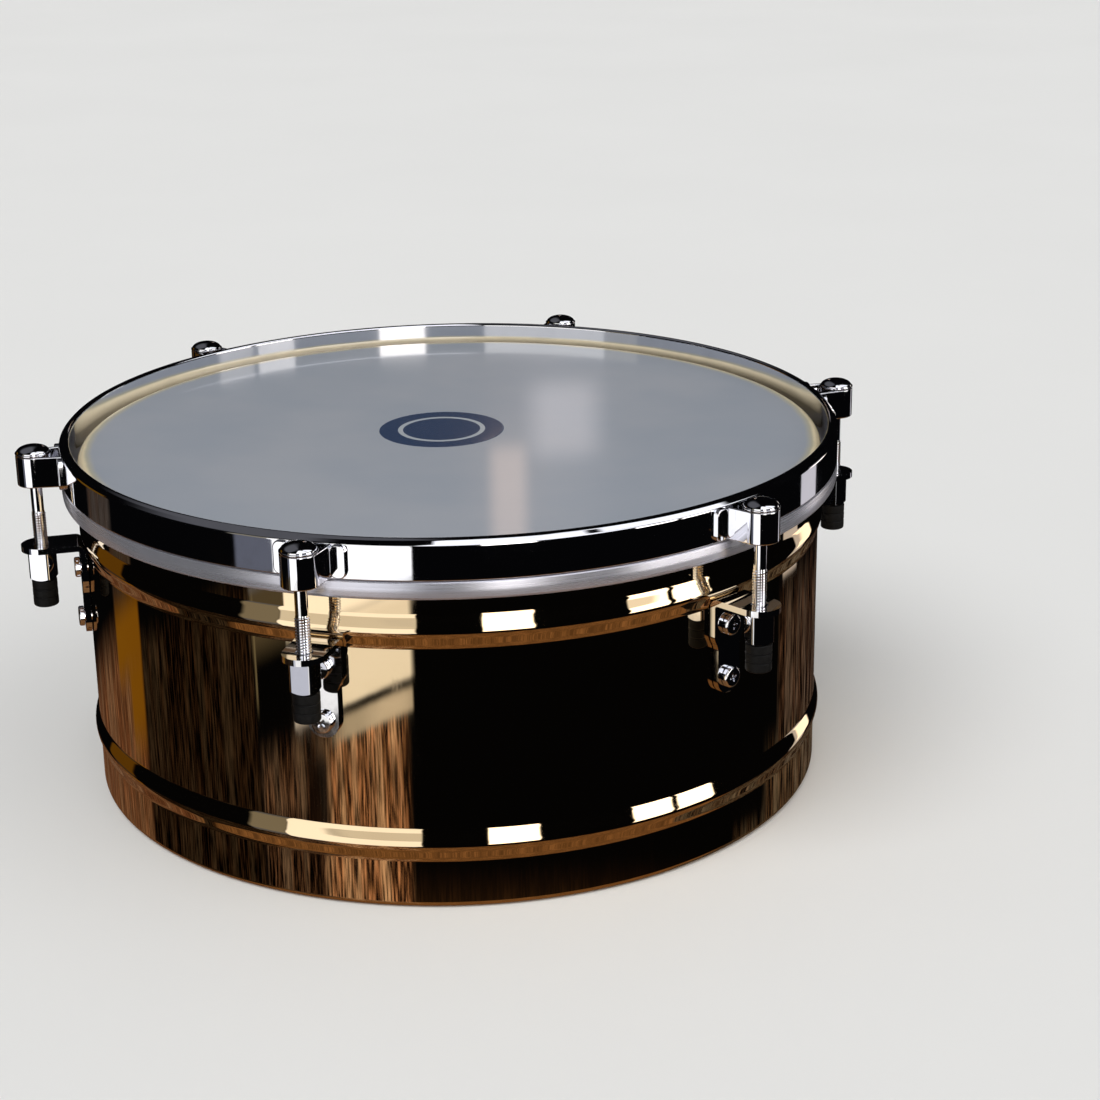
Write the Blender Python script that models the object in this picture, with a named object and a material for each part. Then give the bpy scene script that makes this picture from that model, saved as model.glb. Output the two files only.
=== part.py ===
"""Timbale drum, 14 in by 6 1/2 in: one mirror-polished metal shell drum, as it comes apart on a bench.

Metres, +Z up. The origin is on the drum's axis, in the plane of the shell's bottom rim. Lug 1 faces -Y and
the other five follow every 60 degrees, towards +X. Each lug is modelled facing -Y and turned into place by
its parent empty, so in a lug's own frame x runs along the shell, -y points outwards and z is up.
"""
import math

import bmesh
import bpy
from mathutils import Matrix, Vector

# Driving dimensions
GAP = 0.0003                 # left between pieces that touch
SEGMENTS = 60                # round the drum, a multiple of the number of lugs
LUGS = 6

SHELL_RADIUS = 0.1778        # half of 14 inches
SHELL_WALL = 0.0012
SHELL_TOP = 0.1630
RIM_FLANGE = 0.0058          # the turned-in bottom edge
BEARING_LIP = 0.0054         # the turned-in top edge, which the head bears on
LOWER_BEAD_Z = 0.0303
UPPER_BEAD_Z = 0.1292
BEAD_PROUD = 0.0021
BEAD_HALF_HEIGHT = 0.0080

FILM_TOP = 0.1637
FILM_THICKNESS = 0.00035
FILM_SHOULDER = 0.0036       # radius of the bend over the bearing edge
FILM_SKIRT_BOTTOM = 0.1470

FLESH_HOOP_BOTTOM = 0.1462
FLESH_HOOP_OUTER = 0.1865
RIM_BOTTOM = 0.15465
RIM_TOP = 0.17263
RIM_OUTER = 0.1863
RIM_THICKNESS = 0.0050

ROD_CIRCLE = 0.1982          # distance of the tension rods from the drum's axis
EAR_RADIUS = 0.0082
EAR_BORE = 0.0059
EAR_BOTTOM = 0.1556
EAR_TOP = 0.1702
EAR_ROOT = 0.0098            # half width where the ear's sides meet its feet
EAR_FOOT = 0.0160            # half width over the two welded feet
EAR_FOOT_THICKNESS = 0.0017

ROD_TOP = 0.1745
ROD_BOTTOM = 0.0975
ROD_HEAD_RADIUS = 0.0083
ROD_PLUG_RADIUS = 0.0055
ROD_SHANK_RADIUS = 0.0028
ROD_THREAD_RADIUS = 0.0033
ROD_THREAD_TOP = 0.1425

BRACKET_SHEET = 0.0028
BRACKET_HALF_WIDTH = 0.0094
BRACKET_FOOT_HALF_WIDTH = 0.0070
BRACKET_TOP = 0.1261
BRACKET_WAIST_TOP = 0.1085
BRACKET_WAIST_BOTTOM = 0.1015
BRACKET_BOTTOM = 0.0800
BRACKET_BEND = 0.0026        # radius of the bend, at the middle of the sheet
BRACKET_BACK = SHELL_RADIUS + GAP

LUG_SCREW_HEIGHTS = {"upper": 0.1126, "lower": 0.0878}
SCREW_HEAD_RADIUS = 0.0048
SCREW_HEAD_HEIGHT = 0.0026
SCREW_SHANK_RADIUS = 0.0023
SCREW_LENGTH = 0.0098
SCREW_HOLE = SCREW_SHANK_RADIUS + GAP

BACKING_HALF_WIDTH = 0.0060
BACKING_THICKNESS = 0.0026
BACKING_FACE = 0.1759        # the face that lies against the shell's inside
BACKING_MARGIN = 0.0052      # beyond the two screws, at top and bottom

NUT_TOP = BRACKET_TOP - BRACKET_SHEET - GAP
NUT_BOTTOM = 0.1088
NUT_HALF_WIDTH = 0.0052      # half of the square across its flats
NUT_CORNER = 0.0012          # how far each corner is cut back
NUT_BORE = ROD_THREAD_RADIUS + GAP
NUT_FIRST_TURN = -4.0        # degrees, at lug 1
NUT_NEXT_TURN = -23.0        # more for each lug, since tuning leaves them all different
SLEEVE_TOP = NUT_BOTTOM - GAP
SLEEVE_BOTTOM = 0.0957
SLEEVE_RADIUS = 0.0059

MOUNT_AZIMUTH = 150.0        # degrees from -Y towards +X, halfway between two lugs
MOUNT_HALF_WIDTH = 0.0240
MOUNT_BOTTOM = 0.0520
MOUNT_TOP = 0.1080
GASKET_FACE = 0.1796         # the gasket's flat outer face
MOUNT_BACKING_FACE = 0.1712  # the flat inner face of the plate inside the shell
MOUNT_PLATE = 0.0035
BLOCK_HALF_WIDTH = 0.0130
BLOCK_BOTTOM = 0.0560
BLOCK_TOP = 0.1040
BLOCK_FACE = 0.2130
STAND_BORE_CENTRE = 0.1960
STAND_BORE = 0.0065          # takes a 12.7 mm stand rod
MOUNT_SCREW_X = 0.0184
MOUNT_SCREW_Z = (0.0620, 0.0980)
EYE_HEIGHT = 0.0100
EYE_RADIUS = 0.0110
EYE_BORE = 0.0068
EYE_SHANK = 0.0038
EYE_TRAVEL = 0.0020
EYEBOLT_END = 0.2310
WING_NUT_SEAT = BLOCK_FACE + GAP
WING_NUT_LENGTH = 0.0110
WING_HUB_RADIUS = 0.0085
WING_HUB_TOP_RADIUS = 0.0062
WING_ROOT = 0.0045           # where a wing starts, inside the hub
WING_REACH = 0.0170
WING_THICKNESS = 0.0030


def clear_scene():
    for item in list(bpy.data.objects):
        bpy.data.objects.remove(item, do_unlink=True)


def material(name, colour, metallic, roughness):
    made = bpy.data.materials.new(name)
    made.use_nodes = True
    shader = made.node_tree.nodes["Principled BSDF"]
    shader.inputs["Base Color"].default_value = (*colour, 1.0)
    shader.inputs["Metallic"].default_value = metallic
    shader.inputs["Roughness"].default_value = roughness
    return made


def mesh_from(name, vertices, faces, smooth_angle=35.0):
    """A closed mesh with its faces pointing out, smooth except at its real edges."""
    mesh = bpy.data.meshes.new(name)
    mesh.from_pydata(vertices, [], faces)
    shape = bmesh.new()
    shape.from_mesh(mesh)
    bmesh.ops.recalc_face_normals(shape, faces=shape.faces)
    shape.to_mesh(mesh)
    shape.free()
    mesh.shade_smooth()
    mesh.set_sharp_from_angle(angle=math.radians(smooth_angle))
    return mesh


def place(name, mesh, finish, parent=None, location=(0, 0, 0), rotation=(0, 0, 0)):
    piece = bpy.data.objects.new(name, mesh)
    bpy.context.collection.objects.link(piece)
    piece.parent = parent
    piece.location = location
    piece.rotation_euler = rotation
    if not mesh.materials:
        mesh.materials.append(finish)
    return piece


def empty_at(name, azimuth):
    """An empty on the drum's axis that turns a piece facing -Y to this azimuth."""
    holder = bpy.data.objects.new(name, None)
    bpy.context.collection.objects.link(holder)
    holder.rotation_euler.z = math.radians(azimuth)
    return holder


def turned(name, profile, segments=SEGMENTS):
    """Turn a closed outline of (radius, z) points about Z. Points at radius 0 become single poles."""
    vertices = []
    rings = []
    for radius, z in profile:
        if radius <= 0.0:
            rings.append([len(vertices)] * segments)
            vertices.append((0.0, 0.0, z))
            continue
        rings.append(list(range(len(vertices), len(vertices) + segments)))
        for step in range(segments):
            angle = 2 * math.pi * step / segments
            vertices.append((radius * math.sin(angle), -radius * math.cos(angle), z))
    faces = []
    for index, ring in enumerate(rings):
        following = rings[(index + 1) % len(rings)]
        for step in range(segments):
            corner = (step + 1) % segments
            face = [ring[step], ring[corner], following[corner], following[step]]
            face = list(dict.fromkeys(face))
            if len(face) > 2:
                faces.append(face)
    return mesh_from(name, vertices, faces)


def prism(name, outline, z_low, z_high):
    """Extrude a closed outline of (x, y) points from z_low to z_high."""
    count = len(outline)
    vertices = [(x, y, z_low) for x, y in outline] + [(x, y, z_high) for x, y in outline]
    faces = [list(range(count)), list(range(count, 2 * count))]
    for index in range(count):
        following = (index + 1) % count
        faces.append([index, following, count + following, count + index])
    return mesh_from(name, vertices, faces)


def arc(centre, radius, start, end, steps):
    """Points on an arc, ends included, with angles in degrees from the first axis."""
    points = []
    for step in range(steps + 1):
        angle = math.radians(start + (end - start) * step / steps)
        points.append((centre[0] + radius * math.cos(angle), centre[1] + radius * math.sin(angle)))
    return points


def offset_path(path, thickness):
    """The closed outline of a sheet of this thickness whose middle follows an open path."""
    left = []
    right = []
    for index, point in enumerate(path):
        before = Vector(path[max(index - 1, 0)])
        after = Vector(path[min(index + 1, len(path) - 1)])
        along = (after - before).normalized()
        normal = Vector((-along.y, along.x)) * (thickness / 2)
        left.append((point[0] + normal.x, point[1] + normal.y))
        right.append((point[0] - normal.x, point[1] - normal.y))
    return right + left[::-1]


def cylinder(name, radius, low, high, segments=12):
    return turned(name, [(0, low), (radius, low), (radius, high), (0, high)], segments)


def outward(mesh, x=0.0, z=0.0):
    """Turn a mesh made along +Z so that it points out of the shell along -Y, at this x and height."""
    mesh.transform(Matrix.Translation((x, 0, z)) @ Matrix.Rotation(math.radians(90), 4, "X"))
    return mesh


def combine(name, mesh, others, operation):
    """The mesh that is left after a Boolean with each of the other meshes in turn."""
    base = bpy.data.objects.new(name, mesh)
    bpy.context.collection.objects.link(base)
    tools = []
    for other in others:
        tool = bpy.data.objects.new(name + "_tool", other)
        bpy.context.collection.objects.link(tool)
        modifier = base.modifiers.new("Boolean", "BOOLEAN")
        modifier.operation = operation
        modifier.solver = "EXACT"
        modifier.object = tool
        tools.append(tool)
    depsgraph = bpy.context.evaluated_depsgraph_get()
    result = bpy.data.meshes.new_from_object(base.evaluated_get(depsgraph))
    for used in [base] + tools:
        bpy.data.objects.remove(used, do_unlink=True)
    result.name = name
    result.materials.clear()
    result.shade_smooth()
    result.set_sharp_from_angle(angle=math.radians(35.0))
    return result


def lug_azimuths():
    return [(number + 1, 360.0 * number / LUGS) for number in range(LUGS)]


def bead(centre_z):
    """The outer radius and height of points up a pressed bead."""
    points = []
    for share in (-1.0, -0.5, 0.0, 0.5, 1.0):
        proud = BEAD_PROUD * math.cos(math.pi / 2 * share) ** 2
        points.append((SHELL_RADIUS - SHELL_WALL / 2 + proud, centre_z + share * BEAD_HALF_HEIGHT))
    return points


def shell_mesh():
    """Sheet metal with two pressed beads, a turned-in foot and a turned-in bearing edge."""
    middle = SHELL_RADIUS - SHELL_WALL / 2
    foot_z = SHELL_WALL / 2
    foot_bend = 0.0022
    lip_bend = 0.0030
    lip_z = SHELL_TOP - SHELL_WALL / 2
    path = [(SHELL_RADIUS - RIM_FLANGE, foot_z)]
    path += arc((middle - foot_bend, foot_z + foot_bend), foot_bend, -90, 0, 2)
    path += bead(LOWER_BEAD_Z) + bead(UPPER_BEAD_Z)
    path += arc((middle - lip_bend, lip_z - lip_bend), lip_bend, 0, 90, 3)
    path.append((SHELL_RADIUS - BEARING_LIP, lip_z - 0.0010))
    return turned("shell", offset_path(path, SHELL_WALL))


def screw_hole(azimuth, x, z, radius):
    """A cutter through the shell wall, square to the face that the screw clamps."""
    length = 0.0300
    mesh = outward(cylinder("hole", radius, SHELL_RADIUS - length / 2, SHELL_RADIUS + length / 2, 8), x, z)
    mesh.transform(Matrix.Rotation(math.radians(azimuth), 4, "Z"))
    return mesh


def make_shell(brass):
    holes = []
    for _, azimuth in lug_azimuths():
        for height in LUG_SCREW_HEIGHTS.values():
            holes.append(screw_hole(azimuth, 0.0, height, SCREW_HOLE))
    for x in (-MOUNT_SCREW_X, MOUNT_SCREW_X):
        for height in MOUNT_SCREW_Z:
            holes.append(screw_hole(MOUNT_AZIMUTH, x, height, SCREW_HOLE + GAP))
    place("shell", combine("shell", shell_mesh(), holes, "DIFFERENCE"), brass)


def make_drum_head(film):
    """A flat film that bends over the bearing edge into a skirt, whose edge is held by the flesh hoop."""
    middle_z = FILM_TOP - FILM_THICKNESS / 2
    skirt = SHELL_RADIUS + GAP + FILM_THICKNESS / 2
    path = [(0.0, middle_z)]
    path += arc((skirt - FILM_SHOULDER, middle_z - FILM_SHOULDER), FILM_SHOULDER, 90, 0, 3)
    path.append((skirt, FILM_SKIRT_BOTTOM))
    place("drum_head", turned("drum_head", offset_path(path, FILM_THICKNESS)), film)


def make_flesh_hoop(aluminium):
    inner = SHELL_RADIUS + 2 * GAP + FILM_THICKNESS
    top = RIM_BOTTOM - GAP
    chamfer = 0.0012
    outline = [
        (inner, FLESH_HOOP_BOTTOM),
        (FLESH_HOOP_OUTER - chamfer, FLESH_HOOP_BOTTOM),
        (FLESH_HOOP_OUTER, FLESH_HOOP_BOTTOM + chamfer),
        (FLESH_HOOP_OUTER, top),
        (inner, top),
    ]
    place("flesh_hoop", turned("flesh_hoop", outline), aluminium)


def ear_mesh(azimuth):
    """A welded loop that holds one rod's head: two feet on the rim, two near-parallel sides and a round end."""
    face = RIM_OUTER + EAR_FOOT_THICKNESS
    inside = RIM_OUTER - RIM_THICKNESS / 2
    corner = 0.0008
    fillet = 0.0012
    lead_in = 5.0
    side = [
        (EAR_FOOT, inside),
        (EAR_FOOT, face - corner),
        (EAR_FOOT - corner, face),
        (EAR_ROOT + fillet, face),
        (EAR_ROOT, face + fillet),
    ]
    loop = arc((0.0, ROD_CIRCLE), EAR_RADIUS, -lead_in, 180 + lead_in, 12)
    outline = side + loop + [(-x, distance) for x, distance in reversed(side)]
    outline = [(x, -distance) for x, distance in outline]
    mesh = prism("ear", outline, EAR_BOTTOM, EAR_TOP)
    bore = cylinder("bore", EAR_BORE, EAR_BOTTOM - 0.01, EAR_TOP + 0.01, 16)
    bore.transform(Matrix.Translation((0, -ROD_CIRCLE, 0)))
    mesh = combine("ear", mesh, [bore], "DIFFERENCE")
    mesh.transform(Matrix.Rotation(math.radians(azimuth), 4, "Z"))
    return mesh


def make_rim_hoop(chrome):
    inner = RIM_OUTER - RIM_THICKNESS
    crown = RIM_THICKNESS / 2
    outline = [(inner, RIM_BOTTOM), (RIM_OUTER, RIM_BOTTOM)]
    outline += arc((RIM_OUTER - crown, RIM_TOP - crown), crown, 0, 180, 4)
    ears = [ear_mesh(azimuth) for _, azimuth in lug_azimuths()]
    place("rim_hoop", combine("rim_hoop", turned("rim_hoop", outline), ears, "UNION"), chrome)


def rod_mesh():
    """A domed head, the plug that fills the ear, a plain shank and the threaded end."""
    seat = EAR_TOP + GAP
    rise = ROD_TOP - seat
    lead = 0.0008
    outline = [(0, ROD_BOTTOM), (ROD_THREAD_RADIUS - lead, ROD_BOTTOM), (ROD_THREAD_RADIUS, ROD_BOTTOM + lead)]
    outline += [(ROD_THREAD_RADIUS, ROD_THREAD_TOP), (ROD_SHANK_RADIUS, ROD_THREAD_TOP + 0.0006)]
    outline += [(ROD_SHANK_RADIUS, EAR_BOTTOM), (ROD_PLUG_RADIUS, EAR_BOTTOM + 0.0016)]
    outline += [(ROD_PLUG_RADIUS, seat), (ROD_HEAD_RADIUS, seat), (ROD_HEAD_RADIUS, seat + 0.22 * rise)]
    outline += [(0.80 * ROD_HEAD_RADIUS, seat + 0.66 * rise), (0.45 * ROD_HEAD_RADIUS, seat + 0.92 * rise)]
    outline.append((0, ROD_TOP))
    return turned("tension_rod", outline, 12)


def bracket_stations():
    """The bent strip as stations of (distance out, z, direction of travel, half width), foot to tab end."""
    middle = BRACKET_BACK + BRACKET_SHEET / 2
    tab_z = BRACKET_TOP - BRACKET_SHEET / 2
    foot_centre = BRACKET_BOTTOM + BRACKET_FOOT_HALF_WIDTH
    stations = []
    for angle in (-86, -60, -30, 0):
        z = foot_centre + BRACKET_FOOT_HALF_WIDTH * math.sin(math.radians(angle))
        stations.append((middle, z, 90, BRACKET_FOOT_HALF_WIDTH * math.cos(math.radians(angle))))
    for share in (0.0, 0.25, 0.5, 0.75, 1.0):
        z = BRACKET_WAIST_BOTTOM + share * (BRACKET_WAIST_TOP - BRACKET_WAIST_BOTTOM)
        ease = (1 - math.cos(math.pi * share)) / 2
        width = BRACKET_FOOT_HALF_WIDTH + ease * (BRACKET_HALF_WIDTH - BRACKET_FOOT_HALF_WIDTH)
        stations.append((middle, z, 90, width))
    for heading in (90, 60, 30, 0):
        turn = math.radians(90 - heading)
        out = middle + BRACKET_BEND * (1 - math.cos(turn))
        z = tab_z - BRACKET_BEND * (1 - math.sin(turn))
        stations.append((out, z, heading, BRACKET_HALF_WIDTH))
    for angle in (0, 30, 60, 86):
        out = ROD_CIRCLE + BRACKET_HALF_WIDTH * math.sin(math.radians(angle))
        stations.append((out, tab_z, 0, BRACKET_HALF_WIDTH * math.cos(math.radians(angle))))
    return stations


def bracket_mesh():
    """Sheet bent to a right angle: a waisted plate on the shell and a tab with a round end for the rod."""
    vertices = []
    faces = []
    for out, z, heading, half_width in bracket_stations():
        along = math.radians(heading)
        lift = Vector((-math.sin(along), math.cos(along))) * (BRACKET_SHEET / 2)
        for x, side in ((-half_width, 1), (half_width, 1), (half_width, -1), (-half_width, -1)):
            vertices.append((x, -(out + side * lift.x), z + side * lift.y))
    count = len(vertices) // 4
    for station in range(count - 1):
        first = 4 * station
        for corner in range(4):
            following = (corner + 1) % 4
            faces.append([first + corner, first + following, first + 4 + following, first + 4 + corner])
    faces.append([0, 1, 2, 3])
    faces.append([len(vertices) - 4 + corner for corner in range(4)])
    mesh = mesh_from("lug_bracket", vertices, faces)
    rod_hole = cylinder("rod_hole", ROD_THREAD_RADIUS + 2 * GAP, BRACKET_TOP - 0.01, BRACKET_TOP + 0.01, 12)
    rod_hole.transform(Matrix.Translation((0, -ROD_CIRCLE, 0)))
    cutters = [rod_hole]
    for height in LUG_SCREW_HEIGHTS.values():
        cutters.append(screw_hole(0.0, 0.0, height, SCREW_HOLE))
    return combine("lug_bracket", mesh, cutters, "DIFFERENCE")


def screw_mesh(name):
    """A low domed head and its shank, made along +Z with the seat of the head at z = 0."""
    outline = [
        (0, -SCREW_LENGTH),
        (SCREW_SHANK_RADIUS, -SCREW_LENGTH),
        (SCREW_SHANK_RADIUS, 0),
        (SCREW_HEAD_RADIUS, 0),
        (SCREW_HEAD_RADIUS, 0.25 * SCREW_HEAD_HEIGHT),
        (0.62 * SCREW_HEAD_RADIUS, 0.82 * SCREW_HEAD_HEIGHT),
        (0, SCREW_HEAD_HEIGHT),
    ]
    return outward(turned(name, outline, 10))


def backing_plate_mesh():
    heights = LUG_SCREW_HEIGHTS.values()
    outline = [
        (-BACKING_HALF_WIDTH, -BACKING_FACE),
        (BACKING_HALF_WIDTH, -BACKING_FACE),
        (BACKING_HALF_WIDTH, -BACKING_FACE + BACKING_THICKNESS),
        (-BACKING_HALF_WIDTH, -BACKING_FACE + BACKING_THICKNESS),
    ]
    mesh = prism("backing", outline, min(heights) - BACKING_MARGIN, max(heights) + BACKING_MARGIN)
    cutters = [screw_hole(0.0, 0.0, height, SCREW_HOLE) for height in heights]
    return combine("lug_backing_plate", mesh, cutters, "DIFFERENCE")


def nut_mesh():
    """A long square nut with its corners cut back and a plain bore, centred on its own axis."""
    near = NUT_HALF_WIDTH - NUT_CORNER
    outline = []
    for across, along in ((1, 1), (-1, 1), (-1, -1), (1, -1)):
        ends = [(across * NUT_HALF_WIDTH, along * near), (across * near, along * NUT_HALF_WIDTH)]
        outline += ends if across == along else ends[::-1]
    square = prism("tuning_nut", outline, NUT_BOTTOM, NUT_TOP)
    bore = cylinder("nut_bore", NUT_BORE, NUT_BOTTOM - 0.01, NUT_TOP + 0.01, 12)
    return combine("tuning_nut", square, [bore], "DIFFERENCE")


def sleeve_mesh():
    outline = [
        (NUT_BORE, SLEEVE_BOTTOM),
        (SLEEVE_RADIUS - 0.0008, SLEEVE_BOTTOM),
        (SLEEVE_RADIUS, SLEEVE_BOTTOM + 0.0008),
        (SLEEVE_RADIUS, SLEEVE_TOP),
        (NUT_BORE, SLEEVE_TOP),
    ]
    return turned("nut_sleeve", outline, 12)


def make_lugs(chrome, steel, rubber):
    bracket = bracket_mesh()
    backing = backing_plate_mesh()
    screw = screw_mesh("lug_screw")
    rod = rod_mesh()
    nut = nut_mesh()
    sleeve = sleeve_mesh()
    screw_seat = BRACKET_BACK + BRACKET_SHEET + GAP
    on_rod = (0, -ROD_CIRCLE, 0)
    for number, azimuth in lug_azimuths():
        lug = empty_at(f"lug_{number}", azimuth)
        turn = (0, 0, math.radians(NUT_FIRST_TURN + NUT_NEXT_TURN * (number - 1)))
        place(f"lug_bracket_{number}", bracket, chrome, lug)
        place(f"lug_backing_plate_{number}", backing, steel, lug)
        for end, height in LUG_SCREW_HEIGHTS.items():
            place(f"lug_screw_{number}_{end}", screw, chrome, lug, (0, -screw_seat, height))
        place(f"tension_rod_{number}", rod, chrome, lug, on_rod)
        place(f"tuning_nut_{number}", nut, chrome, lug, on_rod, turn)
        place(f"nut_sleeve_{number}", sleeve, rubber, lug, on_rod, turn)


def curved_pad(name, radius, face, z_low, z_high):
    """A pad with one face curved to the shell and one flat, with the mount's four screw holes."""
    steps = 6
    reach = math.degrees(math.asin(MOUNT_HALF_WIDTH / radius))
    outline = arc((0, 0), radius, -90 - reach, -90 + reach, steps)
    outline += [(MOUNT_HALF_WIDTH, -face), (-MOUNT_HALF_WIDTH, -face)]
    mesh = prism(name, outline, z_low, z_high)
    return combine(name, mesh, mount_screw_holes(), "DIFFERENCE")


def mount_screw_holes():
    radius = SCREW_HOLE + GAP
    return [screw_hole(0.0, x, z, radius) for x in (-MOUNT_SCREW_X, MOUNT_SCREW_X) for z in MOUNT_SCREW_Z]


def box_mesh(name, half_width, near, far, z_low, z_high):
    """A block that spans x = -half_width to half_width and the distances near to far out from the axis."""
    outline = [(-half_width, -near), (half_width, -near), (half_width, -far), (-half_width, -far)]
    return prism(name, outline, z_low, z_high)


def mount_bracket_mesh():
    """A plate with a block that takes the stand's rod, slotted across for the eyebolt."""
    plate_back = GASKET_FACE + GAP
    plate_face = plate_back + MOUNT_PLATE
    middle = (BLOCK_BOTTOM + BLOCK_TOP) / 2
    slot = EYE_HEIGHT / 2 + GAP
    plate = box_mesh("mount_plate", MOUNT_HALF_WIDTH, plate_back, plate_face, MOUNT_BOTTOM, MOUNT_TOP)
    block = box_mesh("block", BLOCK_HALF_WIDTH, plate_face - 0.001, BLOCK_FACE, BLOCK_BOTTOM, BLOCK_TOP)
    body = combine("mount_bracket", plate, [block], "UNION")
    bore = cylinder("stand_bore", STAND_BORE, BLOCK_BOTTOM - 0.01, BLOCK_TOP + 0.01, 20)
    bore.transform(Matrix.Translation((0, -STAND_BORE_CENTRE, 0)))
    slot_near = STAND_BORE_CENTRE - EYE_RADIUS - GAP
    slot_far = STAND_BORE_CENTRE + EYE_RADIUS + EYE_TRAVEL + GAP
    slot_cut = box_mesh("slot", 0.02, slot_near, slot_far, middle - slot, middle + slot)
    shank_hole = cylinder("shank_hole", EYE_SHANK + GAP, STAND_BORE_CENTRE, BLOCK_FACE + 0.01, 12)
    cutters = [bore, slot_cut, outward(shank_hole, 0, middle)] + mount_screw_holes()
    return combine("mount_bracket", body, cutters, "DIFFERENCE")


def eyebolt_mesh():
    """An eye round the stand's rod with a shank that leaves through the block's face."""
    middle = (BLOCK_BOTTOM + BLOCK_TOP) / 2
    eye = cylinder("eye", EYE_RADIUS, middle - EYE_HEIGHT / 2, middle + EYE_HEIGHT / 2, 20)
    eye.transform(Matrix.Translation((0, -STAND_BORE_CENTRE, 0)))
    start = STAND_BORE_CENTRE + EYE_BORE + 0.002
    shank = outward(cylinder("shank", EYE_SHANK, start, EYEBOLT_END, 12), 0, middle)
    bore = cylinder("eye_bore", EYE_BORE, middle - 0.02, middle + 0.02, 20)
    bore.transform(Matrix.Translation((0, -STAND_BORE_CENTRE, 0)))
    solid = combine("mount_eyebolt", eye, [shank], "UNION")
    return combine("mount_eyebolt", solid, [bore], "DIFFERENCE")


def wing_nut_mesh():
    """A hub with two flat wings, made along +Z with its seat at z = 0."""
    flange = 0.0020
    hub_outline = [(0, 0), (WING_HUB_RADIUS, 0), (WING_HUB_RADIUS, flange)]
    hub_outline += [(WING_HUB_TOP_RADIUS, WING_NUT_LENGTH), (0, WING_NUT_LENGTH)]
    hub = turned("hub", hub_outline, 16)
    lower_edge = [(WING_ROOT, flange), (0.0120, 0.0034), (WING_REACH, 0.0080)]
    upper_edge = [(0.0158, 0.0145), (0.0110, 0.0140), (WING_ROOT, 0.0095)]
    half = WING_THICKNESS / 2
    blade = []
    for side in (-1, 1):
        points = [(side * x, z) for x, z in lower_edge + upper_edge]
        blade.append(prism("wing", points, -half, half))
    for wing in blade:
        wing.transform(Matrix.Rotation(math.radians(90), 4, "X"))
    solid = combine("mount_wing_nut", hub, blade, "UNION")
    bore = cylinder("wing_bore", EYE_SHANK + GAP, -0.01, WING_NUT_LENGTH + 0.01, 12)
    return outward(combine("mount_wing_nut", solid, [bore], "DIFFERENCE"))


def make_mount(chrome, steel, rubber):
    """The bracket that holds the drum on its stand: a clamp worked by a wing nut, on a gasket."""
    mount = empty_at("mount", MOUNT_AZIMUTH)
    middle = (BLOCK_BOTTOM + BLOCK_TOP) / 2
    gasket = curved_pad("mount_gasket", SHELL_RADIUS + GAP, GASKET_FACE, MOUNT_BOTTOM, MOUNT_TOP)
    backing_radius = SHELL_RADIUS - SHELL_WALL - 2 * GAP
    backing = curved_pad("mount_backing_plate", backing_radius, MOUNT_BACKING_FACE, MOUNT_BOTTOM, MOUNT_TOP)
    screw = screw_mesh("mount_screw")
    seat = GASKET_FACE + MOUNT_PLATE + 2 * GAP
    place("mount_gasket", gasket, rubber, mount)
    place("mount_backing_plate", backing, steel, mount)
    place("mount_bracket", mount_bracket_mesh(), chrome, mount)
    corners = [(x, z) for z in MOUNT_SCREW_Z for x in (-MOUNT_SCREW_X, MOUNT_SCREW_X)]
    for number, (x, z) in enumerate(corners, start=1):
        place(f"mount_screw_{number}", screw, chrome, mount, (x, -seat, z))
    place("mount_eyebolt", eyebolt_mesh(), steel, mount)
    place("mount_wing_nut", wing_nut_mesh(), chrome, mount, (0, -WING_NUT_SEAT, middle))


def build():
    clear_scene()
    brass = material("polished_brass", (0.83, 0.62, 0.30), 1.0, 0.06)
    chrome = material("chrome", (0.80, 0.81, 0.83), 1.0, 0.05)
    steel = material("steel", (0.56, 0.57, 0.60), 1.0, 0.32)
    aluminium = material("aluminium", (0.66, 0.67, 0.70), 1.0, 0.38)
    film = material("head_film", (0.58, 0.61, 0.64), 0.0, 0.30)
    rubber = material("black_rubber", (0.03, 0.03, 0.03), 0.0, 0.60)
    make_shell(brass)
    make_drum_head(film)
    make_flesh_hoop(aluminium)
    make_rim_hoop(chrome)
    make_lugs(chrome, steel, rubber)
    make_mount(chrome, steel, rubber)


build()
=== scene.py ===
"""The fine surface, finishes, light and camera of a 14 in timbale drum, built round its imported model.

Metres, +Z up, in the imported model's own frame. Lug 1 faces -Y and the others follow every 60 degrees
towards +X. A lug's pieces are made facing -Y and turned to their azimuth, as in the model. Every fine piece
stands for the model's node of the same name, and rides on that node's body.
"""
import math

import bmesh
import bpy
from mathutils import Matrix, Vector


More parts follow.
